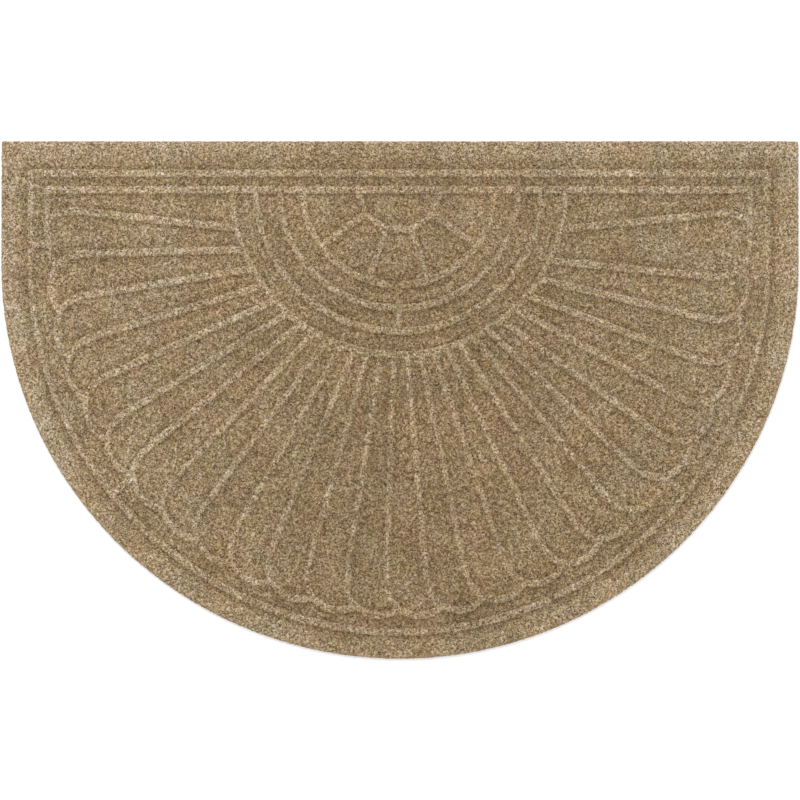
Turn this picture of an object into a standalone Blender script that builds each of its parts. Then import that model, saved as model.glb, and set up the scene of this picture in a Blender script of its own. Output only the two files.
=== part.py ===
"""Half-round doormat: one moulded, needle-punched mat with a raised border band and a
raised fan of petals round a half-round hub. Metres, +Z up, resting on z = 0. The straight
edge is the back (+Y) and the round edge is the front (-Y)."""

import math

import bmesh
import bpy
import numpy as np
from mathutils import Vector
from mathutils.geometry import delaunay_2d_cdt

# Outline: a half circle with short straight sides up to a straight back edge
WIDTH = 0.889
DEPTH = 0.584
RADIUS = WIDTH / 2
BACK_Y = DEPTH / 2
CENTRE_Y = BACK_Y - (DEPTH - RADIUS)

# Heights above the floor: the panel is pressed down, the border and ridges are left high
PANEL_Z = 0.0060
BORDER_Z = 0.0078
RIDGE_Z = 0.0080
EDGE_DROP = 0.0014
EDGE_ROUND = 0.0024

# Border band: flat from the edge, then rolling down to the panel
BAND_FLAT = 0.0165
BAND_FOOT = 0.0285

# Section of every raised ridge, as half widths
RIDGE_TOP = 0.0026
RIDGE_FOOT = 0.0048

# The whole pattern of ridges lies this far off the middle, to the left and to the front
PATTERN_X = -0.0012
PATTERN_Y = -0.0028

# Two ridges follow the outline, this far in from the edge, and the petal ends a little further
OUTER_INSET = 0.0340
INNER_INSET = 0.0528
PETAL_INSET = 0.0549

# How far the outer ridge and the petal ends swell out at the front and draw in beside it
OUTER_SWELL = 0.0016
PETAL_SWELL = 0.0046

# Hub: half rings on the inner ridge's back run, with a small fan of five petals inside
HUB_Y = BACK_Y - INNER_INSET
HUB_RINGS = (0.1072, 0.1333, 0.1593, 0.1859)
RING_STRETCH = 1.003
FAN_RING = 0.0440
FAN_CUSP = 0.0030
FAN_PETALS = 5

# Rays: straight ridges from the outer ring, in even steps of a slightly stretched circle
FOCUS_X = -0.0016
FOCUS_Y = BACK_Y - 0.1159
RAYS = 27
FIRST_RAY = math.radians(5.36)
RAY_STEP = math.radians(7.22)
END_RAY = math.radians(-5.4)
STRETCH = 1.07

# Each ray ends in a hook that meets the scallops at a cusp
HOOK_TURN = math.radians(2.1)
HOOK_LENGTH = 0.0360
HOOK_KEEP = 0.67
CUSP_IN = 0.0077

# Short ties between the two border ridges
TIE_BACK = 0.1145
TIE_ANGLE = math.radians(38.7)
TIE_END = 0.0650

# How finely the curves are cut into straight runs, and how near two points become one
OUTLINE_RUNS = 72
RING_RUN = 0.0145
SCALLOP_RUNS = 8
HOOK_RUNS = 5
MERGE = 0.00025


def swelling(x, y, swell):
    """How far out a curve with this swell lies at a point: most at the front, none at the sides."""
    off_front = math.atan2(x, CENTRE_Y - y)
    return swell * (math.cos(2 * off_front) + math.cos(4 * off_front)) / 2


def inset_outline(inset, runs=OUTLINE_RUNS, swell=0.0):
    """The outline moved in by inset: back corners, then the half circle."""
    reach = RADIUS - inset
    back = BACK_Y - inset
    points = [(reach, back)]
    points.append((-reach, back))
    for i in range(runs + 1):
        turn = math.pi + math.pi * i / runs
        dx = math.cos(turn)
        dy = math.sin(turn)
        out = reach + swelling(dx, CENTRE_Y + dy, swell)
        points.append((out * dx, CENTRE_Y + out * dy))
    return points


def border_point(turn, inset):
    """Where the line from the focus at this turn below +X meets the inset outline, swell and all."""
    reach = RADIUS - inset
    dx = math.cos(turn)
    dy = -math.sin(turn)
    low = FOCUS_Y - CENTRE_Y
    along = FOCUS_X * dx + low * dy
    rest = FOCUS_X**2 + low**2 - reach**2
    far = -along + math.sqrt(along**2 - rest)
    if FOCUS_Y + far * dy > CENTRE_Y:
        far = (math.copysign(reach, dx) - FOCUS_X) / dx
    else:
        far += swelling(FOCUS_X + far * dx, FOCUS_Y + far * dy, PETAL_SWELL)
    return (FOCUS_X + far * dx, FOCUS_Y + far * dy)


def ray_turn(i):
    """Direction of a ray, measured from the focus downward from +X."""
    even = END_RAY if i == 0 else FIRST_RAY + RAY_STEP * (i - 1)
    return math.atan2(STRETCH * math.sin(even), math.cos(even))


def cusp_turn(i):
    """Direction of the point where a ray's hook ends."""
    return ray_turn(i) + (HOOK_TURN if i == 0 else -HOOK_TURN)


def cusp_point(i):
    at_side = i in (0, RAYS - 1)
    return border_point(cusp_turn(i), INNER_INSET if at_side else PETAL_INSET + CUSP_IN)


def hub_point(turn, reach):
    """A point round the hub, at this turn below +X."""
    return (reach * math.cos(turn), HUB_Y - RING_STRETCH * reach * math.sin(turn))


def ring_arc(radius, runs, cusp=0.0):
    """A half ring round the hub, with optional cusps at the spokes."""
    points = []
    for i in range(runs + 1):
        turn = math.pi * i / runs
        points.append(hub_point(turn, radius + cusp * (1 - abs(math.sin(FAN_PETALS * turn)))))
    return points


def ring_hit(turn):
    """Where a ray leaves the outermost hub ring."""
    dx = math.cos(turn)
    dy = -math.sin(turn)
    low = (FOCUS_Y - HUB_Y) / RING_STRETCH
    fall = dy / RING_STRETCH
    along = FOCUS_X * dx + low * fall
    size = dx**2 + fall**2
    rest = FOCUS_X**2 + low**2 - HUB_RINGS[-1] ** 2
    far = (-along + math.sqrt(along**2 - size * rest)) / size
    return (FOCUS_X + far * dx, FOCUS_Y + far * dy)


def ray_line(i):
    """A straight run out from the hub, then a hook that bends to its cusp."""
    turn = ray_turn(i)
    cusp = Vector(cusp_point(i))
    focus = Vector((FOCUS_X, FOCUS_Y))
    heading = Vector((math.cos(turn), -math.sin(turn)))
    reach = (cusp - focus).length
    bend = focus + heading * (reach - HOOK_LENGTH)
    keep = focus + heading * (reach - HOOK_LENGTH * (1 - HOOK_KEEP))
    points = [ring_hit(turn)]
    for j in range(HOOK_RUNS + 1):
        u = j / HOOK_RUNS
        spot = bend * (1 - u) ** 2 + keep * 2 * u * (1 - u) + cusp * u**2
        points.append(tuple(spot))
    return points


def scallop(i):
    """The rounded petal end between the cusps of two neighbouring rays."""
    points = []
    for j in range(SCALLOP_RUNS + 1):
        u = j / SCALLOP_RUNS
        turn = cusp_turn(i) * (1 - u) + cusp_turn(i + 1) * u
        inset = PETAL_INSET + CUSP_IN * (1 - math.sin(math.pi * u))
        points.append(border_point(turn, inset))
    return points


def side_scallop(i, side):
    """The half scallop from the tie on one side to that side's first cusp."""
    rise = BACK_Y - TIE_BACK - FOCUS_Y
    reach = abs((RADIUS - INNER_INSET) * side - FOCUS_X)
    start = -math.atan(rise / reach) if side > 0 else math.pi + math.atan(rise / reach)
    points = []
    for j in range(SCALLOP_RUNS // 2 + 1):
        u = 2 * j / SCALLOP_RUNS
        turn = start * (1 - u) + cusp_turn(i) * u
        deeper = PETAL_INSET + CUSP_IN - INNER_INSET
        inset = INNER_INSET + deeper * (1 - math.cos(math.pi / 2 * u))
        points.append(border_point(turn, inset))
    return points


def ridge_lines():
    """Centre lines of all the raised ridges, as lists of points."""
    side = RADIUS - INNER_INSET
    tie_y = BACK_Y - TIE_BACK
    outer = inset_outline(OUTER_INSET, swell=OUTER_SWELL)
    lines = [outer + outer[:1]]
    lines.append([(side, tie_y), (side, HUB_Y), (-side, HUB_Y), (-side, tie_y)])
    lines.append(side_scallop(1, 1))
    lines.append(side_scallop(RAYS - 2, -1))
    lines += [scallop(i) for i in range(1, RAYS - 2)]
    lines += [ray_line(i) for i in range(RAYS)]
    for radius in HUB_RINGS:
        lines.append(ring_arc(radius, round(math.pi * radius / RING_RUN)))
    lines.append(ring_arc(FAN_RING, 4 * FAN_PETALS, cusp=FAN_CUSP))
    for i in range(1, FAN_PETALS):
        turn = math.pi * i / FAN_PETALS
        lines.append([hub_point(turn, r) for r in (FAN_RING + FAN_CUSP, HUB_RINGS[0])])
    for pair in (HUB_RINGS[0:2], HUB_RINGS[1:3]):
        lines.append([hub_point(math.pi / 2, r) for r in pair])
    for s in (1, -1):
        lines.append([(s * side, tie_y), (s * (RADIUS - OUTER_INSET), tie_y)])
        tie = []
        for inset in (TIE_END, OUTER_INSET):
            reach = RADIUS - inset
            x = s * reach * math.cos(TIE_ANGLE)
            tie.append((x, CENTRE_Y - reach * math.sin(TIE_ANGLE)))
        lines.append(tie)
    return [[(x + PATTERN_X, y + PATTERN_Y) for x, y in line] for line in lines]


def parallel(line, offset):
    """The line moved sideways by offset, mitred at its corners."""
    closed = math.dist(line[0], line[-1]) < 1e-9
    points = [Vector(p) for p in (line[:-1] if closed else line)]
    moved = []
    for i, here in enumerate(points):
        before = points[i - 1] if closed or i else None
        after = points[(i + 1) % len(points)] if closed or i + 1 < len(points) else None
        normals = []
        for a, b in ((before, here), (here, after)):
            if a is not None and b is not None:
                run = (b - a).normalized()
                normals.append(Vector((-run.y, run.x)))
        mitre = sum(normals, Vector((0.0, 0.0))).normalized()
        moved.append(here + mitre * (offset / max(0.5, mitre.dot(normals[0]))))
    return moved + moved[:1] if closed else moved


def distance_to(lines, spots):
    """Shortest distance from each spot to any of the lines."""
    starts = np.array([p for line in lines for p in line[:-1]])
    stops = np.array([p for line in lines for p in line[1:]])
    runs = stops - starts
    lengths = np.maximum((runs**2).sum(axis=1), 1e-12)
    shortest = np.empty(len(spots))
    for i, spot in enumerate(spots):
        share = np.clip(((spot - starts) * runs).sum(axis=1) / lengths, 0, 1)
        gaps = starts + runs * share[:, None] - spot
        shortest[i] = np.sqrt((gaps**2).sum(axis=1).min())
    return shortest


def edge_distance(spots):
    """Distance in from the outline."""
    x = np.abs(spots[:, 0])
    low = spots[:, 1] - CENTRE_Y
    round_in = RADIUS - np.hypot(x, np.minimum(low, 0.0))
    return np.minimum(round_in, BACK_Y - spots[:, 1])


def top_height(lines, spots):
    """Height of the mat's face: the panel, the border band and the ridges on it."""
    inward = edge_distance(spots)
    band = np.interp(inward, (0.0, EDGE_ROUND, BAND_FLAT, BAND_FOOT),
                     (BORDER_Z - EDGE_DROP, BORDER_Z, BORDER_Z, PANEL_Z))
    gap = distance_to(lines, spots)
    ridge = np.interp(gap, (RIDGE_TOP, RIDGE_FOOT), (RIDGE_Z, PANEL_Z))
    return np.maximum(band, ridge)


def drawn_lines(lines):
    """Every line the face is creased along: the border's steps and each ridge's sides."""
    drawn = []
    for inset in (0.0, EDGE_ROUND, BAND_FLAT, BAND_FOOT):
        loop = inset_outline(inset)
        drawn.append(loop + loop[:1])
    for line in lines:
        for offset in (-RIDGE_FOOT, -RIDGE_TOP, RIDGE_TOP, RIDGE_FOOT):
            drawn.append(parallel(line, offset))
    return drawn


def make_mat(name):
    """The face is triangulated along its creases and raised, then closed down to the floor."""
    lines = ridge_lines()
    coords = []
    edges = []
    for line in drawn_lines(lines):
        first = len(coords)
        coords += [Vector(p) for p in line]
        edges += [(first + i, first + i + 1) for i in range(len(line) - 1)]
    flat = delaunay_2d_cdt(coords, edges, [], 0, MERGE)
    spots = np.array([tuple(v) for v in flat[0]])
    heights = top_height(lines, spots)
    bm = bmesh.new()
    verts = [bm.verts.new((x, y, z)) for (x, y), z in zip(spots, heights)]
    for corners in flat[2]:
        bm.faces.new([verts[i] for i in corners])
    rim = [e for e in bm.edges if e.is_boundary]
    wall = bmesh.ops.extrude_edge_only(bm, edges=rim)["geom"]
    for v in wall:
        if isinstance(v, bmesh.types.BMVert):
            v.co.z = 0.0
    base = [e for e in wall if isinstance(e, bmesh.types.BMEdge)]
    bmesh.ops.contextual_create(bm, geom=base)
    bmesh.ops.recalc_face_normals(bm, faces=bm.faces)
    mesh = bpy.data.meshes.new(name)
    bm.to_mesh(mesh)
    bm.free()
    return bpy.data.objects.new(name, mesh)


def pile_material():
    material = bpy.data.materials.new("khaki_fibre_pile")
    material.use_nodes = True
    shader = material.node_tree.nodes["Principled BSDF"]
    shader.inputs["Base Color"].default_value = (0.29, 0.21, 0.13, 1.0)
    shader.inputs["Roughness"].default_value = 0.95
    return material


def main():
    for old in list(bpy.data.objects):
        bpy.data.objects.remove(old, do_unlink=True)
    group = bpy.data.collections.new("half_round_doormat")
    bpy.context.scene.collection.children.link(group)
    mat = make_mat("mat")
    mat.data.materials.append(pile_material())
    group.objects.link(mat)


main()
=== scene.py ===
"""Half-round doormat: the looks of one needle-punched mat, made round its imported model.

The face is one closed relief: a raised border band, and raised ridges that draw a fan of
petals round a half-round hub. Over the face and the side wall lies a nap of looped fibres in
four yarn shades. Metres, +Z up, the straight back edge towards +Y."""

import math
from functools import partialmethod

import bmesh
import bpy
import numpy as np
from bpy.props import FloatProperty, FloatVectorProperty, IntProperty, PointerProperty
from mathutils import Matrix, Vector
from mathutils.geometry import delaunay_2d_cdt
from mathutils.kdtree import KDTree


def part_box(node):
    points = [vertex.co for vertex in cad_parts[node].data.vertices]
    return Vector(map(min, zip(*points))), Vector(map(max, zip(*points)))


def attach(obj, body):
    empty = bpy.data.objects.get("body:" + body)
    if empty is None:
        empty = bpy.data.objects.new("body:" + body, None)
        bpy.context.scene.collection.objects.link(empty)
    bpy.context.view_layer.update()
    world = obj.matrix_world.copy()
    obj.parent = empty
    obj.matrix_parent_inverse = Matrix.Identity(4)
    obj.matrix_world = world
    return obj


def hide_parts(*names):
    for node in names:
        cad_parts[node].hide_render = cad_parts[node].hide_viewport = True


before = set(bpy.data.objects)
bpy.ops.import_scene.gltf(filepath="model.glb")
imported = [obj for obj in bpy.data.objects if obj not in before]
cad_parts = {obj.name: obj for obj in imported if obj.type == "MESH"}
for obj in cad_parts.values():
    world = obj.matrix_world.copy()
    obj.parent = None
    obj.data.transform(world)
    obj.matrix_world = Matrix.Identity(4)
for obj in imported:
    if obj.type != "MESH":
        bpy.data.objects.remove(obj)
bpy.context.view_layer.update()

bl_info = {
    "name": "Half-round doormat",
    "version": (1, 0, 0),
    "blender": (4, 5, 0),
    "location": "3D View > Sidebar > Doormat",
    "description": "A half-round fibre doormat with a raised border and a fan of raised petals",
    "category": "Object",
}

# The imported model's box, and the outline that it gives: a half circle with short straight sides
LOW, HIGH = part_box("mat")
RADIUS = (HIGH.x - LOW.x) / 2
BACK_Y = HIGH.y
CENTRE_Y = LOW.y + RADIUS
TOP_Z = HIGH.z
FLAT_AREA = 2 * RADIUS * (BACK_Y - CENTRE_Y) + math.pi * RADIUS**2 / 2

# How finely the outline, the hub's rings (in metres), a petal end and a ray's hook are drawn
OUTLINE_RUNS = 360
RING_RUN = 0.0030
SCALLOP_RUNS = 20
HOOK_RUNS = 12

# Points of the face in rows along every ridge, and in rings round its ends and sharp corners
ROW_STEP = 0.0026
ROUND_REACHES = (0.0017, 0.0031, 0.0041, 0.0051)
ROW_OFFSETS = (*(-reach for reach in reversed(ROUND_REACHES)), 0.0, *ROUND_REACHES)
RING_LEAST = 6
SHARP_TURN = math.radians(50)

# Rows of points just inside the rim, the loosely even fill that lies clear of all the rows, and the
# small squares that hold no more than one point of a row
EDGE_ROWS = (0.0007, 0.0016, 0.0028)
FILL_STEP = 0.0034
FILL_CLEAR = 0.0023
FILL_JITTER = 0.0006
FILL_SEED = 7
CELL = 0.0006

# The triangulation keeps what lies inside the rim, and merges points this close together
INSIDE_RIM = 1
MERGE = 0.00005

# How far the felt's rim lies inside the outline, which the loops on the wall fill out again, the
# radius of its back corners, and how finely they are drawn
RIM_IN = 0.0010
BACK_CORNER = 0.0010
CORNER_RUNS = 2

# The side wall below the rounded rim, as (height, how far it stands out from the rim)
WALL_ROWS = ((0.0052, 0.0003), (0.0036, 0.0004), (0.0020, 0.0002), (0.0007, -0.0003), (0.0, -0.0009))

# How softly a ridge and the band run together, and the felt's lumps and broad waves, as (input that
# gives their height, noise scale, detail, shift of the seed)
RIDGE_BLEND = 0.0004
UNEVENNESS = (("Lumps", 310.0, 2.0, 0.0), ("Unevenness", 28.0, 1.0, 9.0))

# Places where the ridges stand out less, as (x, y, how far it reaches, share of their tone left)
FAINT_SPOTS = (
    (0.412, 0.142, 0.170, 0.38), (0.345, -0.055, 0.130, 0.40), (-0.412, 0.157, 0.038, 0.15),
    (0.105, 0.215, 0.070, 0.40), (0.0, 0.123, 0.032, 0.10), (-0.055, 0.193, 0.045, 0.48),
    (0.024, 0.165, 0.034, 0.50))

# A face is part of the underside if its normal's Z is below the first, and bears loops above the second
UNDERSIDE_BELOW = -0.9
LOOPS_ABOVE = -0.5

# A fibre loop: runs of the arch that it follows, rings of points along it, sides of each ring, and
# how close together its end points are to become one
ARCH_RUNS = 4
LOOP_RINGS = 3
LOOP_SIDES = 3
LOOP_MERGE = 0.00001

# The smallest and the largest loop, as shares of its length, bend and rise, and the random seeds of
# the loops' directions, sizes and shades
LOOP_SIZES = ((0.55, 0.7, 0.5), (1.45, 1.3, 1.6))
TURN_SEED, SIZE_SEED, SHADE_SEED = 1, 2, 3

# The flat map that each piece is laid out on, the free strips left on it, and which of
# the relief's materials is the underside's
MAP_NAME = "OFBake"
MAP_STRIP = 0.0015
CELL_STRIP = 0.1
UNDERSIDE_SLOT = 1

# The matt finish of all the fibre, and the brightness of the darkest and lightest loops of one yarn
FIBRE_FINISH = {
    "Roughness": 0.92, "Specular IOR Level": 0.2, "Sheen Weight": 0.12, "Sheen Roughness": 0.6}
YARN_TONES = (0.74, 1.28)

# Noise scales of the drifts of the pile's colour, warmth and brightness, as waves to the metre, and
# between which values of its noise the brightness goes from the first tone to the second
DRIFT_SCALE = 42.0
WARMTH_SCALE = 14.0
PATCH_SCALE = 16.0
PATCH_ROUGHNESS = 0.7
PATCH_LIMITS = (0.3, 0.7)
PATCH_TONES = (0.88, 1.12)

# The darker middle of the mat, its shares across and from back to front, and how red, green and
# blue follow the pile's brightness
MIDDLE = (0.030, -0.10, 0.0)
MIDDLE_SHARES = (1.0, 0.60, 0.0)
TONE_POWERS = (0.78, 1.0, 1.42)

# The felt's specks: how far and how finely they are stirred, how fine they are, and the noise value
# at which each yarn shows most
STIR_REACH = 0.004
STIR_SCALE = 330.0
SPECK_SCALE = 430.0
SPECK_ROUGHNESS = 0.65
SPECK_STOPS = {"umber": 0.34, "olive": 0.44, "khaki": 0.53, "sand": 0.64}

# The felt's bump, with a share of finer fuzz, and the grain and bump of the sealed underside
FUZZ_SCALE = 1500.0
FUZZ_SHARE = 0.35
FELT_BUMP = {"Strength": 0.7, "Distance": 0.0012}
GRAIN_SCALE = 520.0
GRAIN_ROUGHNESS = 0.6
GRAIN_BUMP = {"Strength": 0.4, "Distance": 0.0005}

# The floor just under the mat, the soft light above the back edge, and how far the camera sees
FLOOR_SIZE = 24.0
FLOOR_DROP = 0.0003
FLOOR_ROUGHNESS = 0.9
KEY_SIZE = 2.4
KEY_PLACE = (-0.7, 1.9, 2.8)
CLIP_END = 100.0


def amount(name, description, default, **kind):
    """A number that a user can change, with its unit or subtype."""
    return FloatProperty(name=name, description=description, default=default, **kind)


def metres(name, description, default):
    """A size in metres."""
    return amount(name, description, default, unit="LENGTH")


def metre_row(name, description, default):
    """A row of sizes in metres."""
    return FloatVectorProperty(
        name=name, description=description, size=len(default), default=default, unit="LENGTH")


def angle(name, description, degrees):
    """An angle, with its default in degrees."""
    return amount(name, description, math.radians(degrees), subtype="ANGLE")


def fraction(name, description, default):
    """A share of a whole."""
    return amount(name, description, default, subtype="FACTOR")


def rgb(name, description, default):
    """A colour as red, green and blue."""
    return FloatVectorProperty(
        name=name, description=description, subtype="COLOR", size=3, default=default, min=0, max=1)


class DoormatBorder(bpy.types.PropertyGroup):
    """Sizes of the border band and of the two ridges that follow the outline."""

    band_flat: metres("Band flat", "Width of the border band's level part", 0.0115)
    band_foot: metres("Band foot", "How far in the band has rolled down to the panel", 0.0275)
    edge_round: metres("Edge round", "How far in the rounded rim reaches", 0.0030)
    edge_drop: metres("Edge drop", "How far the rim lies below the band", 0.0016)
    outer_inset: metres("Outer ridge", "Inset of the outer ridge from the outline", 0.0340)
    outer_swell: metres("Outer swell", "How far the outer ridge swells out at the front", 0.0016)
    inner_inset: metres("Inner ridge", "Inset of the inner ridge's straight runs", 0.0528)
    tie_back: metres("Side tie", "Distance of the side ties from the back edge", 0.1145)
    tie_angle: angle("Tie angle", "Direction of the slanted ties below the X axis", 38.7)
    tie_end: metres("Tie end", "Inset at which the slanted ties meet the petals", 0.0650)
    pattern: metre_row(
        "Pattern shift", "How far the ridges lie off the middle of the mat", (-0.0012, -0.0028))


class DoormatFan(bpy.types.PropertyGroup):
    """Sizes of the half-round hub, its small fan, and the rays with their petal ends."""

    hub_rings: metre_row(
        "Hub rings", "Radii of the half rings round the hub", (0.1072, 0.1333, 0.1593, 0.1859))
    ring_stretch: amount("Ring stretch", "How much deeper than wide the half rings are", 1.003)
    fan_ring: metres("Fan ring", "Radius of the scalloped ring of the small fan", 0.0440)
    fan_cusp: metres("Fan cusp", "How far the small fan's cusps point outwards", 0.0030)
    fan_petals: IntProperty(
        name="Fan petals", description="Number of petals in the small fan", default=5, min=2)
    focus_x: metres("Focus X", "Where the rays meet, from the middle of the pattern", -0.0016)
    focus_back: metres("Focus depth", "Where the rays meet, from the back edge", 0.1159)
    rays: IntProperty(
        name="Rays", description="Number of rays from the hub to the border", default=27, min=3)
    first_ray: angle("First ray", "Direction of the first even ray below the X axis", 5.36)
    ray_step: angle("Ray step", "Angle from one ray to the next", 7.22)
    end_ray: angle("End ray", "Direction of the ray that lies above the first", -5.4)
    stretch: amount("Ray stretch", "How much deeper than wide the circle of rays is", 1.07)
    hook_turn: angle("Hook turn", "How far a ray's hook bends from its direction", 2.1)
    hook_length: metres("Hook length", "Length of the hook at the end of a ray", 0.0360)
    hook_keep: fraction("Hook keep", "Share of a hook that keeps the ray's direction", 0.67)
    petal_inset: metres("Petal ends", "Inset of the petal ends from the outline", 0.0549)
    petal_swell: metres("Petal swell", "How far the petal ends swell out at the front", 0.0046)
    cusp_in: metres("Cusp depth", "How far the cusps lie inside the petal ends", 0.0077)


class DoormatPile(bpy.types.PropertyGroup):
    """Heights and sections of the moulded pile."""

    panel_z: metres("Panel", "Height of the pressed panel above the floor", 0.0060)
    border_z: metres("Border", "Height of the border band above the floor", 0.0078)
    ridge_z: metres("Ridges", "Height of the ridges above the floor", TOP_Z)
    crest_across: metres(
        "Crest across", "Half width of the level crest of a ridge that runs across", 0.0030)
    crest_along: metres(
        "Crest along", "Half width of the level crest of a ridge from back to front", 0.0008)
    ridge_foot: metres("Ridge foot", "Half width of a ridge at its foot", 0.0054)
    # The trough's darkness is painted shade at the ridge's foot; its dip below the panel is real
    trough: metres("Trough", "How far from a ridge's middle its dark trough reaches", 0.0145)
    # Painted shade that follows the light: a ridge from back to front gets a shallower trough, with
    # fainter painted shade in it, than one across
    trough_along: fraction(
        "Trough along", "Share of its depth that the trough of a ridge from back to front has", 0.50)
    trough_dip: metres("Trough dip", "How far the trough lies below the panel", 0.0004)
    lump: metres("Lumps", "Height of the small lumps in the felt", 0.00030)
    wave: metres("Unevenness", "Height of the broad unevenness of the felt", 0.00025)
    seed: IntProperty(name="Seed", description="Seed of the lumps", default=4)


class DoormatNap(bpy.types.PropertyGroup):
    """Sizes and numbers of the looped fibres."""

    length: metres("Loop length", "Distance between the two ends of a fibre loop", 0.0034)
    width: metres("Loop width", "Thickness of a fibre loop at its middle", 0.00108)
    rise: metres("Loop rise", "How far a loop's middle stands above the felt", 0.00055)
    sink: metres("Loop sink", "How far a loop's ends reach into the felt", 0.00025)
    bend: metres("Loop bend", "How far a loop's middle lies to one side", 0.0007)
    tilt: angle("Loop tilt", "Largest random tilt of a loop", 16)
    lowest: metres("Lowest", "Height above the floor below which no fibre reaches", 0.0002)
    rim_size: fraction("Rim size", "Size of the loops at the rim beside the others", 0.6)
    rim_reach: metres("Rim reach", "How far in from the rim the loops are smaller", 0.0035)
    loops: IntProperty(
        name="Loops", description="Number of loops in each shade", default=29000, min=100)
    seed: IntProperty(name="Seed", description="Seed of the loops' places", default=11)


class DoormatHeather(bpy.types.PropertyGroup):
    """The shades of the heathered yarn, and how much lighter or darker the pile is in places, with
    painted highlight on the ridges and painted shade in their troughs.
    """

    sand: rgb("Sand", "Lightest yarn", (0.534, 0.430, 0.321))
    khaki: rgb("Khaki", "Middle yarn", (0.367, 0.267, 0.152))
    olive: rgb("Olive", "Greenish yarn", (0.229, 0.157, 0.0675))
    umber: rgb("Umber", "Darkest yarn", (0.105, 0.056, 0.0103))
    # Partly painted highlight: the ridges and the band are painted lighter, partly for their loftier pile
    # and partly for the light they catch; the pressed panel is darker for its own pressed pile
    proud: amount("Proud", "Brightness of the pile on the ridges", 1.15)
    border: fraction("Border", "Share of the ridges' brightness that the border band has", 0.66)
    pressed: amount("Pressed", "Brightness of the pile in the pressed panel", 0.90)
    # Painted shade: the troughs beside the ridges are painted darker, where shade falls at their feet
    trough: amount("Trough", "Brightness of the troughs beside the ridges", 0.82)
    middle: amount("Middle", "Brightness of the middle of the mat beside its sides", 0.80)
    reach: metres("Middle reach", "How far the darker middle of the mat reaches", 0.43)
    rim: amount("Rim", "Brightness of the rim beside the band", 0.91)
    drift: amount("Drift", "How far red, green and blue drift from patch to patch", 0.11)
    warmth: FloatVectorProperty(
        name="Warmth", description="How far red, green and blue follow the drift from grey to brown",
        size=3, default=(0.13, 0.0, -0.19))


class DoormatStage(bpy.types.PropertyGroup):
    """Camera, lights and floor."""

    elevation: angle("Elevation", "Camera angle above the floor", 80.9)
    distance: metres("Distance", "Camera distance from the mat", 30.0)
    field: metres("Field", "Width of the picture at the mat", 0.8909)
    aim: metres("Aim", "How far in front of the mat's middle the camera looks", 0.0005)
    key_power: amount("Key light", "Strength of the soft light from the back", 44.0, unit="POWER")
    sky: amount("Sky", "Strength of the even light from all round", 1.30)
    floor: rgb("Floor", "Colour of the floor", (0.96, 0.96, 0.96))


def swelling(x, y, swell):
    """How far out a curve with this swell lies at a point: most at the front, none at the sides."""
    off_front = math.atan2(x, CENTRE_Y - y)
    return swell * (math.cos(2 * off_front) + math.cos(4 * off_front)) / 2


def inset_outline(inset, swell=0.0):
    """The outline moved in by inset: back corners, then the half circle."""
    reach = RADIUS - inset
    points = [(reach, BACK_Y - inset), (-reach, BACK_Y - inset)]
    for i in range(OUTLINE_RUNS + 1):
        turn = math.pi + math.pi * i / OUTLINE_RUNS
        dx = math.cos(turn)
        dy = math.sin(turn)
        out = reach + swelling(dx, CENTRE_Y + dy, swell)
        points.append((out * dx, CENTRE_Y + out * dy))
    return points


def circle_hit(x, y, dx, dy, radius):
    """How far from x, y along dx, dy a line meets a circle round the origin."""
    along = x * dx + y * dy
    size = dx**2 + dy**2
    rest = x**2 + y**2 - radius**2
    return (-along + math.sqrt(along**2 - size * rest)) / size


def border_point(fan, turn, inset):
    """Where the line from the rays' focus, at this turn below +X, meets the swelling inset outline."""
    reach = RADIUS - inset
    focus_y = BACK_Y - fan.focus_back
    dx = math.cos(turn)
    dy = -math.sin(turn)
    far = circle_hit(fan.focus_x, focus_y - CENTRE_Y, dx, dy, reach)
    if focus_y + far * dy > CENTRE_Y:
        far = (math.copysign(reach, dx) - fan.focus_x) / dx
    else:
        far += swelling(fan.focus_x + far * dx, focus_y + far * dy, fan.petal_swell)
    return (fan.focus_x + far * dx, focus_y + far * dy)


def ray_turn(fan, i):
    """Direction of a ray, measured from the focus downward from +X."""
    even = fan.end_ray if i == 0 else fan.first_ray + fan.ray_step * (i - 1)
    return math.atan2(fan.stretch * math.sin(even), math.cos(even))


def cusp_turn(fan, i):
    """Direction of the point where a ray's hook ends."""
    return ray_turn(fan, i) + (fan.hook_turn if i == 0 else -fan.hook_turn)


def hub_point(border, fan, turn, reach):
    """A point round the hub, at this turn below +X."""
    hub_y = BACK_Y - border.inner_inset
    return (reach * math.cos(turn), hub_y - fan.ring_stretch * reach * math.sin(turn))


def ring_arc(border, fan, radius, cusp=0.0):
    """A half ring round the hub, with optional cusps at the small fan's spokes."""
    runs = round(math.pi * radius / RING_RUN)
    points = []
    for i in range(runs + 1):
        turn = math.pi * i / runs
        reach = radius + cusp * (1 - abs(math.sin(fan.fan_petals * turn)))
        points.append(hub_point(border, fan, turn, reach))
    return points


def ring_hit(border, fan, turn):
    """Where a ray leaves the outermost hub ring."""
    focus_y = BACK_Y - fan.focus_back
    hub_y = BACK_Y - border.inner_inset
    dx = math.cos(turn)
    dy = -math.sin(turn)
    far = circle_hit(fan.focus_x, (focus_y - hub_y) / fan.ring_stretch, dx, dy / fan.ring_stretch,
                     fan.hub_rings[3])
    return (fan.focus_x + far * dx, focus_y + far * dy)


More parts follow.
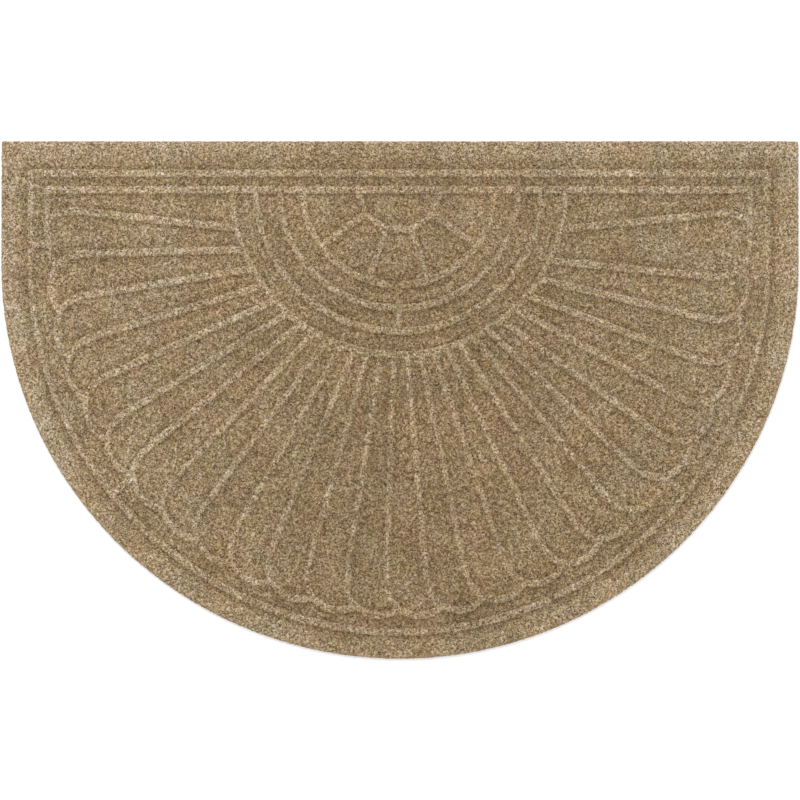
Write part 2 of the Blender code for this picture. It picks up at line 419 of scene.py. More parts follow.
def ray_line(border, fan, i):
    """A straight run out from the hub, then a hook that bends to its cusp."""
    turn = ray_turn(fan, i)
    at_side = i in (0, fan.rays - 1)
    inset = border.inner_inset if at_side else fan.petal_inset + fan.cusp_in
    cusp = Vector(border_point(fan, cusp_turn(fan, i), inset))
    focus = Vector((fan.focus_x, BACK_Y - fan.focus_back))
    heading = Vector((math.cos(turn), -math.sin(turn)))
    reach = (cusp - focus).length
    bend = focus + heading * (reach - fan.hook_length)
    keep = focus + heading * (reach - fan.hook_length * (1 - fan.hook_keep))
    points = [ring_hit(border, fan, turn)]
    for j in range(HOOK_RUNS + 1):
        u = j / HOOK_RUNS
        points.append(tuple(bend * (1 - u) ** 2 + keep * 2 * u * (1 - u) + cusp * u**2))
    return points


def border_curve(fan, start, end, runs, inset):
    """A curve from one turn to another, with its inset from the outline given along it."""
    steps = [j / runs for j in range(runs + 1)]
    return [border_point(fan, start * (1 - u) + end * u, inset(u)) for u in steps]


def scallop(fan, i):
    """The rounded petal end between the cusps of two neighbouring rays."""
    return border_curve(fan, cusp_turn(fan, i), cusp_turn(fan, i + 1), SCALLOP_RUNS,
                        lambda u: fan.petal_inset + fan.cusp_in * (1 - math.sin(math.pi * u)))


def side_scallop(border, fan, i, side):
    """The half scallop from the tie on one side to that side's first cusp."""
    rise = fan.focus_back - border.tie_back
    reach = abs((RADIUS - border.inner_inset) * side - fan.focus_x)
    start = -math.atan(rise / reach) if side > 0 else math.pi + math.atan(rise / reach)
    deeper = fan.petal_inset + fan.cusp_in - border.inner_inset
    return border_curve(fan, start, cusp_turn(fan, i), SCALLOP_RUNS // 2,
                        lambda u: border.inner_inset + deeper * (1 - math.cos(math.pi / 2 * u)))


def tie_lines(border):
    """The short straight ridges that tie the inner ridge and the petals to the outer ridge."""
    side = RADIUS - border.inner_inset
    tie_y = BACK_Y - border.tie_back
    across = math.cos(border.tie_angle)
    down = math.sin(border.tie_angle)
    reaches = (RADIUS - border.tie_end, RADIUS - border.outer_inset)
    lines = []
    for s in (1, -1):
        lines.append([(s * side, tie_y), (s * reaches[1], tie_y)])
        lines.append([(s * reach * across, CENTRE_Y - reach * down) for reach in reaches])
    return lines


def ridge_lines(border, fan):
    """Centre lines of all the raised ridges, as lists of points."""
    side = RADIUS - border.inner_inset
    tie_y = BACK_Y - border.tie_back
    hub_y = BACK_Y - border.inner_inset
    outer = inset_outline(border.outer_inset, border.outer_swell)
    lines = [outer + outer[:1]]
    lines.append([(side, tie_y), (side, hub_y), (-side, hub_y), (-side, tie_y)])
    lines.append(side_scallop(border, fan, 1, 1))
    lines.append(side_scallop(border, fan, fan.rays - 2, -1))
    lines += [scallop(fan, i) for i in range(1, fan.rays - 2)]
    lines += [ray_line(border, fan, i) for i in range(fan.rays)]
    lines += [ring_arc(border, fan, radius) for radius in fan.hub_rings]
    lines.append(ring_arc(border, fan, fan.fan_ring, fan.fan_cusp))
    spokes = [(math.pi * i / fan.fan_petals, fan.fan_ring + fan.fan_cusp, fan.hub_rings[0])
              for i in range(1, fan.fan_petals)]
    spokes += [(math.pi / 2, fan.hub_rings[k], fan.hub_rings[k + 1]) for k in (0, 1)]
    for turn, *reaches in spokes:
        lines.append([hub_point(border, fan, turn, reach) for reach in reaches])
    lines += tie_lines(border)
    return [[(x + border.pattern[0], y + border.pattern[1]) for x, y in line] for line in lines]


def stations(line, step):
    """Evenly spaced points along a line, and the sideways direction at each."""
    points = np.array(line)
    runs = np.diff(points, axis=0)
    lengths = np.hypot(runs[:, 0], runs[:, 1])
    along = np.concatenate(([0.0], np.cumsum(lengths)))
    at = np.linspace(0, along[-1], max(1, round(along[-1] / step)) + 1)
    spots = np.stack([np.interp(at, along, points[:, k]) for k in (0, 1)], axis=1)
    run = np.clip(np.searchsorted(along, at, side="right") - 1, 0, len(runs) - 1)
    sides = np.stack([-runs[run, 1], runs[run, 0]], axis=1) / lengths[run, None]
    return spots, sides


def turning_points(line):
    """A line's two ends and its sharp corners."""
    spots = [line[0], line[-1]]
    for before, here, after in zip(line, line[1:], line[2:]):
        first = Vector(here) - Vector(before)
        second = Vector(after) - Vector(here)
        if first.angle(second, 0.0) > SHARP_TURN:
            spots.append(here)
    return spots


def rings_round(spot, step):
    """The spot and rings of points round it."""
    points = [spot]
    for reach in ROUND_REACHES:
        count = max(RING_LEAST, round(2 * math.pi * reach / step))
        for i in range(count):
            turn = 2 * math.pi * i / count
            points.append((spot[0] + reach * math.cos(turn), spot[1] + reach * math.sin(turn)))
    return points


def rim_loop(inset, step):
    """The rim with its small rounded back corners, moved in by inset, as an even loop."""
    reach = RADIUS - RIM_IN - inset
    back = BACK_Y - RIM_IN - inset
    corner = max(BACK_CORNER - inset, step / 4)
    arcs = []
    for s, first in ((1, 0.0), (-1, math.pi / 2)):
        arc = []
        for i in range(CORNER_RUNS + 1):
            turn = first + math.pi / 2 * i / CORNER_RUNS
            x = s * (reach - corner) + corner * math.cos(turn)
            arc.append((x, back - corner + corner * math.sin(turn)))
        arcs.append(arc)
    right, left = arcs
    front = [left[-1], *inset_outline(RIM_IN + inset)[2:], right[0]]
    even = [stations(run, step)[0][:-1] for run in ([right[-1], left[0]], front)]
    return np.concatenate([right[:-1], even[0], left[:-1], even[1]])


def edge_distance(spots):
    """Distance in from the rim."""
    low = spots[:, 1] - CENTRE_Y
    round_in = RADIUS - np.hypot(spots[:, 0], np.minimum(low, 0.0))
    return np.minimum(round_in, BACK_Y - spots[:, 1]) - RIM_IN


def one_to_a_cell(spots):
    """The spots with no two in the same small square."""
    keep = np.unique(np.round(spots / CELL).astype(int), axis=0, return_index=True)[1]
    return spots[np.sort(keep)]


def fill_spots(rows, rng):
    """Loosely even points over the rest of the face, clear of the rows."""
    tree = KDTree(len(rows))
    for i, (x, y) in enumerate(rows):
        tree.insert((x, y, 0.0), i)
    tree.balance()
    down = FILL_STEP * math.sin(math.pi / 3)
    grid = []
    for j in range(int((BACK_Y - LOW.y) / down) + 1):
        shift = FILL_STEP / 2 * (j % 2)
        for x in np.arange(-RADIUS + shift, RADIUS, FILL_STEP):
            grid.append((x, BACK_Y - j * down))
    grid = np.array(grid) + rng.uniform(-FILL_JITTER, FILL_JITTER, (len(grid), 2))
    grid = grid[edge_distance(grid) > EDGE_ROWS[-1] + FILL_CLEAR / 2]
    clear = [tree.find((x, y, 0.0))[2] > FILL_CLEAR for x, y in grid]
    return grid[np.array(clear)]


def face_spots(lines, rng):
    """Points of the face: rows along both sides of every ridge, rows along the rim, and a fill."""
    rows = []
    for line in lines:
        spots, sides = stations(line, ROW_STEP)
        rows += [spots + sides * offset for offset in ROW_OFFSETS]
        rows += [np.array(rings_round(spot, ROW_STEP)) for spot in turning_points(line)]
    rows = one_to_a_cell(np.concatenate(rows))
    rows = rows[edge_distance(rows) > EDGE_ROWS[-1] + CELL]
    edges = np.concatenate([rim_loop(inset, ROW_STEP) for inset in EDGE_ROWS])
    return np.concatenate([edges, rows, fill_spots(rows, rng)])


def outward(x, y):
    """Direction straight out from the rim at a point on it."""
    if y <= CENTRE_Y:
        return Vector((x, y - CENTRE_Y)).normalized()
    dx = max(0.0, abs(x) - (RADIUS - RIM_IN - BACK_CORNER)) * math.copysign(1.0, x)
    dy = max(0.0, y - (BACK_Y - RIM_IN - BACK_CORNER))
    return Vector((dx, dy)).normalized()


def placed(name, data):
    """A new object in the scene that shows this mesh, light or camera."""
    made = bpy.data.objects.new(name, data)
    bpy.context.scene.collection.objects.link(made)
    return made


def flat_slab(lines, name):
    """The mat before moulding: a triangulated face, a bulging side wall and a flat underside."""
    rim = rim_loop(0.0, ROW_STEP)
    spots = np.concatenate([rim, face_spots(lines, np.random.default_rng(FILL_SEED))])
    order = list(range(len(rim)))
    loop = list(zip(order, order[1:] + order[:1]))
    flat = delaunay_2d_cdt([Vector(p) for p in spots], loop, [order], INSIDE_RIM, MERGE)
    bm = bmesh.new()
    face = bm.verts.layers.float.new("face")
    ring = [None] * len(rim)
    verts = []
    for (x, y), olds in zip(flat[0], flat[3]):
        vert = bm.verts.new((x, y, TOP_Z))
        vert[face] = 1.0
        verts.append(vert)
        for old in olds:
            if old < len(rim):
                ring[old] = vert
    for corners in flat[2]:
        bm.faces.new([verts[i] for i in corners])
    for height, out in WALL_ROWS:
        below = []
        for x, y in rim:
            side = outward(x, y) * out
            below.append(bm.verts.new((x + side.x, y + side.y, height)))
        for i, j in loop:
            bm.faces.new((ring[i], below[i], below[j], ring[j]))
        ring = below
    bottom = bm.faces.new(ring)
    bmesh.ops.triangulate(bm, faces=[bottom])
    bmesh.ops.recalc_face_normals(bm, faces=bm.faces)
    mesh = bpy.data.meshes.new(name)
    bm.to_mesh(mesh)
    bm.free()
    return placed(name, mesh)


def line_object(name, lines):
    """The lines as one object of loose edges, to measure from."""
    verts = []
    edges = []
    for line in lines:
        first = len(verts)
        verts += [(x, y, 0.0) for x, y in line]
        edges += [(first + i, first + i + 1) for i in range(len(line) - 1)]
    mesh = bpy.data.meshes.new(name)
    mesh.from_pydata(verts, edges, [])
    return placed(name, mesh)


class Flow:
    """A value that flows from a node's output. Each sum on it adds a node to its tree."""

    def __init__(self, socket):
        self.socket = socket
        self.tree = socket.id_data

    def to(self, entry):
        """Links the value to a node's input."""
        self.tree.links.new(self.socket, entry)

    def math(self, operation, *others):
        """The result of a Math node on this value and up to two others."""
        inputs = dict(enumerate((self, *others)))
        return flow(self.tree, "ShaderNodeMath", inputs, operation=operation)

    def vector(self, operation, *others, output="Vector"):
        """The result of a Vector Math node on this vector and up to two others."""
        inputs = dict(enumerate((self, *others)))
        return flow(self.tree, "ShaderNodeVectorMath", inputs, output, operation=operation)

    def then(self, kind, inputs=None, **settings):
        """The geometry that comes out of the next geometry node."""
        inputs = {"Geometry": self, **(inputs or {})}
        return flow(self.tree, "GeometryNode" + kind, inputs, **settings)

    def __rsub__(self, other):
        return flow(self.tree, "ShaderNodeMath", {0: other, 1: self}, operation="SUBTRACT")

    __add__ = partialmethod(math, "ADD")
    __sub__ = partialmethod(math, "SUBTRACT")
    __mul__ = partialmethod(math, "MULTIPLY")
    __truediv__ = partialmethod(math, "DIVIDE")
    __pow__ = partialmethod(math, "POWER")


def add(tree, kind, inputs=None, **settings):
    """A node with its settings, and each input set to a value or linked to a flow."""
    node = tree.nodes.new(kind)
    for name, value in settings.items():
        setattr(node, name, value)
    for key, value in (inputs or {}).items():
        if isinstance(value, Flow):
            value.to(node.inputs[key])
        else:
            node.inputs[key].default_value = value
    return node


def flow(tree, kind, inputs=None, output=0, **settings):
    """What flows from one output of a new node."""
    return Flow(add(tree, kind, inputs, **settings).outputs[output])


def joined(tree, x, y, z):
    """A vector of these three values."""
    return flow(tree, "ShaderNodeCombineXYZ", {0: x, 1: y, 2: z})


def apart(vector):
    """A vector's X, Y and Z."""
    return [Flow(socket) for socket in add(vector.tree, "ShaderNodeSeparateXYZ", {0: vector}).outputs]


def eased(value, start, end, first, last):
    """The value taken smoothly from first at start to last at end."""
    return flow(value.tree, "ShaderNodeMapRange", {
        "Value": value, "From Min": start, "From Max": end, "To Min": first, "To Max": last},
        interpolation_type="SMOOTHSTEP")


def geometry_tree(name, inputs):
    """An empty tree with a geometry in and out, and more inputs, named under their types."""
    tree = bpy.data.node_groups.new(name, "GeometryNodeTree")
    tree.interface.new_socket("Geometry", in_out="OUTPUT", socket_type="NodeSocketGeometry")
    for kind, labels in (("Geometry", ["Geometry"]), *inputs.items()):
        for label in labels:
            tree.interface.new_socket(label, in_out="INPUT", socket_type="NodeSocket" + kind)
    given = {socket.name: Flow(socket) for socket in tree.nodes.new("NodeGroupInput").outputs}
    return tree, given, tree.nodes.new("NodeGroupOutput").inputs[0]


def values_of(group):
    """What the group's properties hold, under their names."""
    return {group.bl_rna.properties[key].name: getattr(group, key) for key in type(group).__annotations__}


def grown(base, tree, name, values):
    """What the tree makes of the base object with these values, as a new plain object."""
    modifier = base.modifiers.new(name, "NODES")
    modifier.node_group = tree
    for item in tree.interface.items_tree:
        if item.in_out == "INPUT" and item.name in values:
            modifier[item.identifier] = values[item.name]
    depsgraph = bpy.context.evaluated_depsgraph_get()
    mesh = bpy.data.meshes.new_from_object(
        base.evaluated_get(depsgraph), preserve_all_data_layers=True, depsgraph=depsgraph)
    base.modifiers.remove(modifier)
    mesh.name = name
    return placed(name, mesh)


def moulding_tree():
    """Raises the border band and the ridges of a flat slab, and makes the felt uneven."""
    tree, given, result = geometry_tree("doormat_moulding", {
        "Object": ("Ridge lines", "Outline"),
        "Float": (
            "Panel", "Border", "Ridges", "Crest across", "Crest along", "Ridge foot", "Trough",
            "Trough along", "Trough dip", "Outer ridge", "Band flat", "Band foot", "Edge round",
            "Edge drop", "Lumps", "Unevenness", "Border tone", "Rim reach"),
        "Int": ("Seed",),
        "Material": ("Pile", "Underside")})
    x, y, _ = apart(flow(tree, "GeometryNodeInputPosition"))
    level = joined(tree, x, y, 0.0)
    nearest = []
    for label in ("Ridge lines", "Outline"):
        lines = flow(tree, "GeometryNodeObjectInfo", {"Object": given[label]}, "Geometry")
        nearest.append(add(tree, "GeometryNodeProximity", {"Geometry": lines, "Sample Position": level},
                           target_element="EDGES").outputs)
    from_ridge, inward = (Flow(near["Distance"]) for near in nearest)

    # A ridge's section depends on how far it runs across the mat, from 0 to 1, and with it how wide its
    # partly painted highlight is and how deep the painted shade in its trough
    aside = Flow(nearest[0]["Position"]).vector("SUBTRACT", level).vector("NORMALIZE")
    across = apart(aside)[1].math("ABSOLUTE") ** 2.0
    crest, depth = (
        flow(tree, "ShaderNodeMapRange", {"Value": across, "To Min": along, "To Max": most})
        for along, most in ((given["Crest along"], given["Crest across"]), (given["Trough along"], 1.0)))
    ridge_foot, border_width = given["Ridge foot"], given["Outer ridge"]
    depth = depth.math("MAXIMUM", eased(inward, border_width, border_width + ridge_foot, 1.0, 0.0))

    # The height of the face at each point
    on_ridge = eased(from_ridge, crest, ridge_foot, 1.0, 0.0)
    on_band = eased(inward, given["Band flat"], given["Band foot"], 1.0, 0.0)
    ridge = on_ridge * (given["Ridges"] - given["Panel"])
    band = on_band * (given["Border"] - given["Panel"])
    raised = ridge.math("SMOOTH_MAX", band, RIDGE_BLEND)
    rim = 1.0 - (inward / given["Edge round"]).math("MINIMUM", 1.0)
    fall = rim**2.0 * given["Edge drop"]
    uneven = []
    for label, scale, detail, shift in UNEVENNESS:
        lumps = flow(tree, "ShaderNodeTexNoise", {
            "Vector": level, "W": given["Seed"] + shift, "Scale": scale, "Detail": detail},
            noise_dimensions="4D")
        uneven.append((lumps - 0.5) * given[label])
    # The trough beside each ridge: a small dip in the felt, and painted shade that darkens the pile there
    trough = eased(from_ridge, ridge_foot, given["Trough"], 1.0, 0.0)
    trough = trough * depth * (1.0 - on_ridge.math("MAXIMUM", on_band))
    top = given["Panel"] + raised - fall - trough * given["Trough dip"]
    top = top + (uneven[0] + uneven[1])
    face = flow(tree, "GeometryNodeInputNamedAttribute", {"Name": "face"}, data_type="FLOAT")
    kept = given["Geometry"].then("SetPosition", {
        "Selection": face.math("GREATER_THAN", 0.5), "Position": joined(tree, x, y, top)})

    # What the materials and the nap read: where the pile stands proud, which they paint lighter, partly
    # as painted highlight; where it dips, which they darken with painted shade; and the rim
    proud = on_ridge
    for *spot, reach, left in FAINT_SPOTS:
        away = level.vector("DISTANCE", (*spot, 0.0), output="Value")
        proud = proud * eased(away, 0.0, reach, left, 1.0)
    proud = proud.math("MAXIMUM", on_band * given["Border tone"]) * face
    at_rim = eased(inward, 0.0, given["Rim reach"], 1.0, 0.0)
    for label, value in (("proud", proud), ("trough", trough), ("rim", at_rim)):
        kept = kept.then("StoreNamedAttribute", {"Name": label, "Value": value}, data_type="FLOAT")

    facing = apart(flow(tree, "GeometryNodeInputNormal"))[2]
    below = facing.math("LESS_THAN", UNDERSIDE_BELOW)
    soft = kept.then("SetShadeSmooth", {"Selection": 1.0 - below, "Shade Smooth": True})
    piled = soft.then("RealizeInstances").then("SetMaterial", {"Material": given["Pile"]})
    piled.then("SetMaterial", {"Selection": below, "Material": given["Underside"]}).to(result)
    return tree


def loop_mesh(tree, given):
    """One fibre loop: a low arch, thickest at its middle, whose two ends lie in the felt."""
    half = given["Loop length"] * 0.5
    down = given["Loop sink"] * -1.0
    crown = given["Loop rise"] * 2.0 + given["Loop sink"]
    curve = flow(tree, "GeometryNodeCurveQuadraticBezier", {
        "Resolution": ARCH_RUNS, "Start": joined(tree, half * -1.0, 0.0, down),
        "Middle": joined(tree, 0.0, given["Loop bend"] * 2.0, crown),
        "End": joined(tree, half, 0.0, down)})
    curve = flow(tree, "GeometryNodeResampleCurve", {"Curve": curve, "Count": LOOP_RINGS})
    along = flow(tree, "GeometryNodeSplineParameter", output="Factor")
    taper = along * (1.0 - along) * 4.0
    girth = flow(tree, "GeometryNodeCurvePrimitiveCircle", {
        "Resolution": LOOP_SIDES, "Radius": given["Loop width"] * 0.5})
    tube = flow(tree, "GeometryNodeCurveToMesh", {
        "Curve": curve, "Profile Curve": girth, "Scale": taper})
    closed = tube.then("MergeByDistance", {"Distance": LOOP_MERGE})
    return closed.then("SetMaterial", {"Material": given["Yarn"]})


def nap_tree():
    """Sets fibre loops all over the face and the side wall, each turned and sized at random."""
    tree, given, result = geometry_tree("doormat_nap", {
        "Float": (
            "Density", "Loop length", "Loop width", "Loop rise", "Loop sink", "Loop bend",
            "Loop tilt", "Lowest", "Rim size"),
        "Int": ("Seed",),
        "Material": ("Yarn",)})
    facing = apart(flow(tree, "GeometryNodeInputNormal"))[2]
    spread = add(tree, "GeometryNodeDistributePointsOnFaces", {
        "Mesh": given["Geometry"], "Selection": facing.math("GREATER_THAN", LOOPS_ABOVE),
        "Density": given["Density"], "Seed": given["Seed"]}).outputs
    tilt = given["Loop tilt"]
    back = tilt * -1.0
    turn = flow(tree, "FunctionNodeRandomValue", {
        0: joined(tree, back, back, 0.0), 1: joined(tree, tilt, tilt, 2 * math.pi), "Seed": TURN_SEED},
        data_type="FLOAT_VECTOR")
    turn = flow(tree, "FunctionNodeEulerToRotation", {"Euler": turn})
    turn = flow(tree, "FunctionNodeRotateRotation", {
        "Rotation": Flow(spread["Rotation"]), "Rotate By": turn}, rotation_space="LOCAL")
    size = flow(tree, "FunctionNodeRandomValue", {
        0: LOOP_SIZES[0], 1: LOOP_SIZES[1], "Seed": SIZE_SEED}, data_type="FLOAT_VECTOR")
    rim = flow(tree, "GeometryNodeInputNamedAttribute", {"Name": "rim"}, data_type="FLOAT")
    at_rim = eased(rim, 0.0, 1.0, 1.0, given["Rim size"])
    size = flow(tree, "ShaderNodeVectorMath", {0: size, "Scale": at_rim}, operation="SCALE")
    loops = flow(tree, "GeometryNodeInstanceOnPoints", {
        "Points": Flow(spread["Points"]), "Instance": loop_mesh(tree, given), "Rotation": turn,
        "Scale": size})
    shade = flow(tree, "FunctionNodeRandomValue", {2: 0.0, 3: 1.0, "Seed": SHADE_SEED}, 1,
                 data_type="FLOAT")
    shaded = loops.then("StoreNamedAttribute", {"Name": "shade", "Value": shade},
                        data_type="FLOAT", domain="INSTANCE")
    x, y, z = apart(flow(tree, "GeometryNodeInputPosition"))
    rested = shaded.then("RealizeInstances").then("SetPosition", {
        "Position": joined(tree, x, y, z.math("MAXIMUM", given["Lowest"]))})
    soft = rested.then("SetShadeSmooth", {"Shade Smooth": True})
    soft.then("SetMaterial", {"Material": given["Yarn"]}).to(result)
    return tree


def noise(tree, place, scale, detail, roughness=0.5, output=0):
    """A noise at the place, as a value, or as a colour from its other output."""
    return flow(tree, "ShaderNodeTexNoise", {
        "Vector": place, "Scale": scale, "Detail": detail, "Roughness": roughness}, output)


def mixed(tree, factor, first, second, blend="MIX"):
    """Two colours mixed."""
    return flow(tree, "ShaderNodeMix", {0: factor, 6: first, 7: second}, 2,
                data_type="RGBA", blend_type=blend)


def attribute(tree, name):
    """One of the values that the mesh keeps at each of its points."""
    return flow(tree, "ShaderNodeAttribute", output="Fac", attribute_name=name)


def shader_inputs(owner, shader, values):
    """The inputs of the shader of a material or a sky, with these values set."""
    owner.use_nodes = True
    inputs = owner.node_tree.nodes[shader].inputs
    for label, value in values.items():
        inputs[label].default_value = value
    return inputs


def fibre_material(name):
    """A matt fibre material, still without a colour: its tree, its shader's inputs, and the place."""
    material = bpy.data.materials.new(name)
    inputs = shader_inputs(material, "Principled BSDF", FIBRE_FINISH)
    tree = material.node_tree
    return material, tree, inputs, flow(tree, "ShaderNodeTexCoord", output="Object")


def pile_tone_with_painted_shade(tree, heather, place):
    """Brightness of the pile: pale where it stands proud, partly its own loftier pile and partly painted
    highlight, dark where it is pressed, with painted shade in the troughs beside the ridges.
    """
    tone = eased(attribute(tree, "proud"), 0.0, 1.0, heather.pressed, heather.proud)
    # Painted shade darkens the troughs beside the ridges; the rim is a little darker too
    for label, darkest in (("trough", heather.trough), ("rim", heather.rim)):
        tone = tone * eased(attribute(tree, label), 0.0, 1.0, 1.0, darkest)
    away = place.vector("SUBTRACT", MIDDLE).vector("MULTIPLY", MIDDLE_SHARES)
    away = away.vector("LENGTH", output="Value")
    tone = tone * eased(away, 0.0, heather.reach, heather.middle, 1.0)
    patches = noise(tree, place, PATCH_SCALE, detail=3.0, roughness=PATCH_ROUGHNESS)
    return tone * eased(patches, *PATCH_LIMITS, *PATCH_TONES)


def toned(tree, colour, tone):
    """The colour at this brightness: its blue follows the brightness most and its red least."""
    cast = joined(tree, *(tone**power for power in TONE_POWERS))
    return mixed(tree, 1.0, colour, cast, "MULTIPLY")


def tinted(tree, heather, colour, place):
    """The colour, its red, green and blue each drifting a little from patch to patch."""
    drift = noise(tree, place, DRIFT_SCALE, detail=1.0, output="Color")
    warm = noise(tree, place, WARMTH_SCALE, detail=1.0)
    for value, spans in ((drift, (heather.drift,) * 3), (warm, tuple(heather.warmth))):
        least = tuple(1 - span / 2 for span in spans)
        cast = value.vector("MULTIPLY_ADD", spans, least)
        colour = mixed(tree, 1.0, colour, cast, "MULTIPLY")
    return colour


def felt_material(heather):
    """The felt under the loops: heathered specks of all the yarns, with a fibrous bump."""
    material, tree, inputs, place = fibre_material("heathered_felt")
    stir = noise(tree, place, STIR_SCALE, detail=1.0, output="Color")
    stir = stir.vector("SUBTRACT", (0.5,) * 3).vector("MULTIPLY", (STIR_REACH,) * 3)
    stirred = place.vector("ADD", stir)
    specks = noise(tree, stirred, SPECK_SCALE, detail=3.0, roughness=SPECK_ROUGHNESS)
    ramp = add(tree, "ShaderNodeValToRGB", {0: specks})
    stops = ramp.color_ramp.elements
    while len(stops) < len(SPECK_STOPS):
        stops.new(0.5)
    for stop, (yarn, at) in zip(stops, SPECK_STOPS.items()):
        stop.position = at
        stop.color = (*getattr(heather, yarn), 1.0)
    colour = tinted(tree, heather, Flow(ramp.outputs["Color"]), place)
    toned(tree, colour, pile_tone_with_painted_shade(tree, heather, place)).to(inputs["Base Color"])
    fuzz = noise(tree, stirred, FUZZ_SCALE, detail=2.0)
    height = fuzz.math("MULTIPLY_ADD", FUZZ_SHARE, specks)
    flow(tree, "ShaderNodeBump", {**FELT_BUMP, "Height": height}).to(inputs["Normal"])
    return material


def yarn_material(name, shade, heather):
    """One yarn of the heather, a little lighter or darker from loop to loop."""
    material, tree, inputs, place = fibre_material(name)
    own = eased(attribute(tree, "shade"), 0.0, 1.0, *YARN_TONES)
    colour = tinted(tree, heather, (*shade, 1.0), place)
    toned(tree, colour, pile_tone_with_painted_shade(tree, heather, place) * own).to(inputs["Base Color"])
    return material


def underside_material(heather):
    """The plain flat underside: the same felt pressed smooth and sealed, darker all over."""
    material, tree, inputs, place = fibre_material("sealed_underside")
    grain = noise(tree, place, GRAIN_SCALE, detail=3.0, roughness=GRAIN_ROUGHNESS)
    mixed(tree, grain, (*heather.umber, 1.0), (*heather.olive, 1.0)).to(inputs["Base Color"])
    flow(tree, "ShaderNodeBump", {**GRAIN_BUMP, "Height": grain}).to(inputs["Normal"])
    return material


def numbers(items, name, kind, width=1):
    """One number, or a row of them, for each of a mesh's vertices, faces or corners."""
    found = np.empty(len(items) * width, dtype=kind)
    items.foreach_get(name, found)
    return found.reshape(-1, width) if width > 1 else found


def keep_map(mesh, spots):
    """Gives the mesh its flat map, with one spot for each corner, in place of one that it grew on."""
    if MAP_NAME in mesh.attributes:
        mesh.attributes.remove(mesh.attributes[MAP_NAME])
    layer = mesh.uv_layers.new(name=MAP_NAME, do_init=False)
    layer.uv.foreach_set("vector", spots.astype(np.float32).ravel())


def relief_map(mesh):
    """Lays the relief out flat: its face, the wall folded out round it, the underside at half size."""
    spots = numbers(mesh.vertices, "co", np.float32, 3)
    face = numbers(mesh.attributes["face"].data, "value", np.float32)
    for i in np.flatnonzero(face < 0.5):
        x, y, z = spots[i]
        spots[i, :2] += np.array(outward(x, y)) * (TOP_Z - z)
    wide = 2 * (RADIUS + TOP_Z + MAP_STRIP)
    laid = spots[:, :2] - (-wide / 2, LOW.y - TOP_Z - MAP_STRIP)
    high = BACK_Y - LOW.y + 2 * (TOP_Z + MAP_STRIP)
    corners = numbers(mesh.loops, "vertex_index", np.int32)
    slots = numbers(mesh.polygons, "material_index", np.int32)
    below = np.repeat(slots == UNDERSIDE_SLOT, numbers(mesh.polygons, "loop_total", np.int32))
    laid = laid[corners]
    laid[below] = ((wide, 2 * high) + laid[below] * (-1, 1)) / 2
    keep_map(mesh, laid / wide)


def loops_map(mesh):
    """Lays each fibre loop out flat in a square of its own: its start left, its end right."""
    # A loop is a ring of points between two tips, each tip joined to it by triangles
    loop_corners = 2 * LOOP_SIDES * 3
    corners = numbers(mesh.loops, "vertex_index", np.int32)
    pattern = []
    for face in corners[:loop_corners].reshape(-1, 3):
        closes = {1, LOOP_SIDES} <= set(face.tolist())
        for vertex in face:
            if vertex == 0:
                pattern.append((0.0, 0.5))
            elif vertex > LOOP_SIDES:
                pattern.append((1.0, 0.5))
            else:
                row = LOOP_SIDES if closes and vertex == 1 else vertex - 1
                pattern.append((0.5, 1 - row / LOOP_SIDES))
    count = len(corners) // loop_corners
    side = math.ceil(math.sqrt(count))
    cells = np.stack([np.arange(count) % side, np.arange(count) // side], axis=1)
    inside = CELL_STRIP + np.array(pattern) * (1 - 2 * CELL_STRIP)
    keep_map(mesh, (cells[:, None] + inside[None]) / side)


def turn_along(made, heading):
    """Turns a light or a camera to look along this heading."""
    made.rotation_mode = "QUATERNION"
    made.rotation_quaternion = heading.to_track_quat("-Z", "Y")


def lay_floor(stage):
    """A wide pale floor just under the mat."""
    bpy.ops.mesh.primitive_plane_add(size=FLOOR_SIZE, location=(0.0, 0.0, -FLOOR_DROP))
    floor = bpy.context.object
    floor.name = "floor"
    material = bpy.data.materials.new("pale_floor")
    shader_inputs(material, "Principled BSDF", {
        "Base Color": (*stage.floor, 1.0), "Roughness": FLOOR_ROUGHNESS})
    floor.data.materials.append(material)


def set_lights(stage):
    """Even light from all round, and a soft key light from above the back edge."""
    world = bpy.data.worlds.new("soft_sky")
    shader_inputs(world, "Background", {"Color": (1.0, 1.0, 1.0, 1.0), "Strength": stage.sky})
    bpy.context.scene.world = world
    light = bpy.data.lights.new("back_key", "AREA")
    light.energy = stage.key_power
    light.size = KEY_SIZE
    key = placed("back_key", light)
    key.location = KEY_PLACE
    turn_along(key, -key.location)
    key.visible_camera = False


def set_camera(stage):
    """A camera with a long lens, high above the mat and a little in front of it."""
    lens = bpy.data.cameras.new("camera")
    camera = placed("camera", lens)
    back = Vector((0.0, -math.cos(stage.elevation), math.sin(stage.elevation)))
    camera.location = Vector((0.0, -stage.aim, TOP_Z / 2)) + back * stage.distance
    turn_along(camera, -back)
    lens.lens = lens.sensor_width * stage.distance / stage.field
    lens.clip_end = CLIP_END
    bpy.context.scene.camera = camera
    bpy.context.scene.view_settings.view_transform = "Standard"


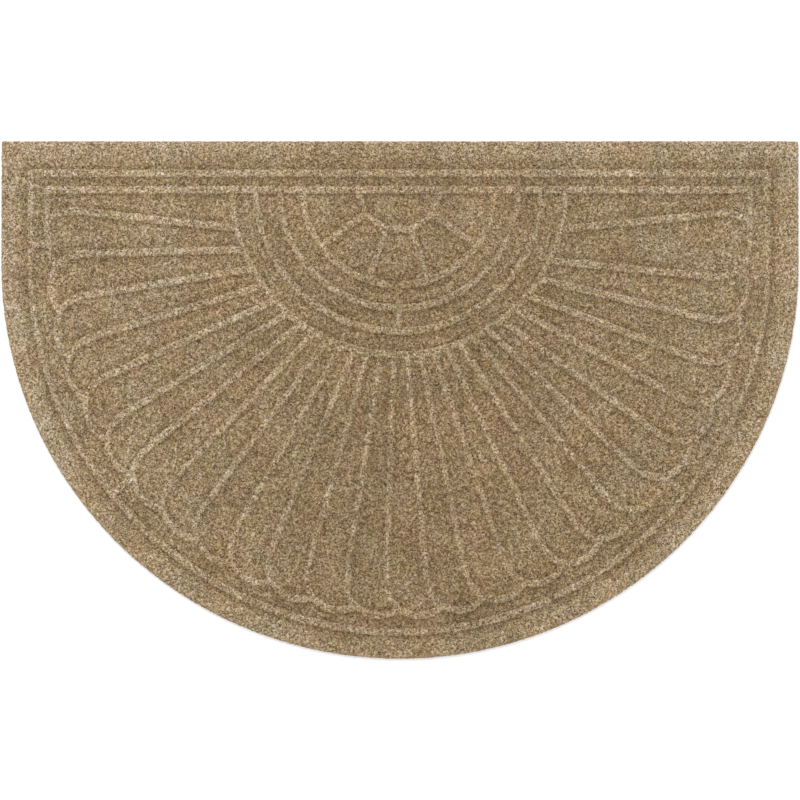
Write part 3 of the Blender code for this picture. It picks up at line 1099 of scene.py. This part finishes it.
class DOORMAT_OT_relief(bpy.types.Operator):
    """Moulds the mat's one solid felt body, with its border band and raised ridges."""

    bl_idname = "doormat.relief"
    bl_label = "Moulded felt body"

    def execute(self, context):
        scene = context.scene
        border, heather = scene.doormat_border, scene.doormat_heather
        lines = ridge_lines(border, scene.doormat_fan)
        outline = inset_outline(RIM_IN)
        slab = flat_slab(lines, "flat_slab")
        guides = (line_object("ridge_guides", lines),
                  line_object("outline_guide", [outline + outline[:1]]))
        relief = grown(slab, moulding_tree(), "mat_relief", {
            **values_of(border), **values_of(scene.doormat_pile), "Ridge lines": guides[0],
            "Outline": guides[1], "Border tone": heather.border,
            "Rim reach": scene.doormat_nap.rim_reach, "Pile": felt_material(heather),
            "Underside": underside_material(heather)})
        for helper in (slab, *guides):
            bpy.data.objects.remove(helper, do_unlink=True)
        relief_map(relief.data)
        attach(relief, "root")
        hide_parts("mat")
        return {"FINISHED"}


class DOORMAT_OT_nap(bpy.types.Operator):
    """Sets the nap of fibre loops on the felt, one piece for each shade of yarn."""

    bl_idname = "doormat.nap"
    bl_label = "Nap of fibre loops"

    def execute(self, context):
        nap, heather = context.scene.doormat_nap, context.scene.doormat_heather
        relief = bpy.data.objects["mat_relief"]
        tree = nap_tree()
        for i, shade in enumerate(("sand", "khaki", "olive", "umber")):
            yarn = yarn_material(shade + "_yarn", getattr(heather, shade), heather)
            piece = grown(relief, tree, "nap_" + shade, {
                **values_of(nap), "Density": nap.loops / FLAT_AREA, "Seed": nap.seed + i, "Yarn": yarn})
            loops_map(piece.data)
            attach(piece, "root")
        return {"FINISHED"}


class DOORMAT_OT_stage(bpy.types.Operator):
    """Lays a plain pale floor and sets soft lights and the camera above the mat."""

    bl_idname = "doormat.stage"
    bl_label = "Floor, lights and camera"

    def execute(self, context):
        stage = context.scene.doormat_stage
        lay_floor(stage)
        set_lights(stage)
        set_camera(stage)
        return {"FINISHED"}


class DOORMAT_PT_panel(bpy.types.Panel):
    """Sizes, yarn shades and the steps that build the doormat."""

    bl_idname = "DOORMAT_PT_panel"
    bl_label = "Half-round doormat"
    bl_space_type = "VIEW_3D"
    bl_region_type = "UI"
    bl_category = "Doormat"

    def draw(self, context):
        for step in STEPS:
            self.layout.operator(step.bl_idname)
        for name, group in GROUPS.items():
            box = self.layout.box()
            for key in group.__annotations__:
                box.prop(getattr(context.scene, name), key)


STEPS = (DOORMAT_OT_relief, DOORMAT_OT_nap, DOORMAT_OT_stage)
GROUPS = {
    "doormat_border": DoormatBorder,
    "doormat_fan": DoormatFan,
    "doormat_pile": DoormatPile,
    "doormat_nap": DoormatNap,
    "doormat_heather": DoormatHeather,
    "doormat_stage": DoormatStage,
}


def register():
    """Makes the groups, steps and panel known, and hangs the groups on the scene."""
    for made in (*GROUPS.values(), *STEPS, DOORMAT_PT_panel):
        bpy.utils.register_class(made)
    for name, group in GROUPS.items():
        setattr(bpy.types.Scene, name, PointerProperty(type=group))


def unregister():
    """Takes back all that register did."""
    for name in GROUPS:
        delattr(bpy.types.Scene, name)
    for made in (DOORMAT_PT_panel, *reversed(STEPS), *reversed(GROUPS.values())):
        bpy.utils.unregister_class(made)


def main():
    register()
    bpy.ops.doormat.relief()
    bpy.ops.doormat.nap()
    bpy.ops.doormat.stage()


if __name__ == "__main__":
    main()
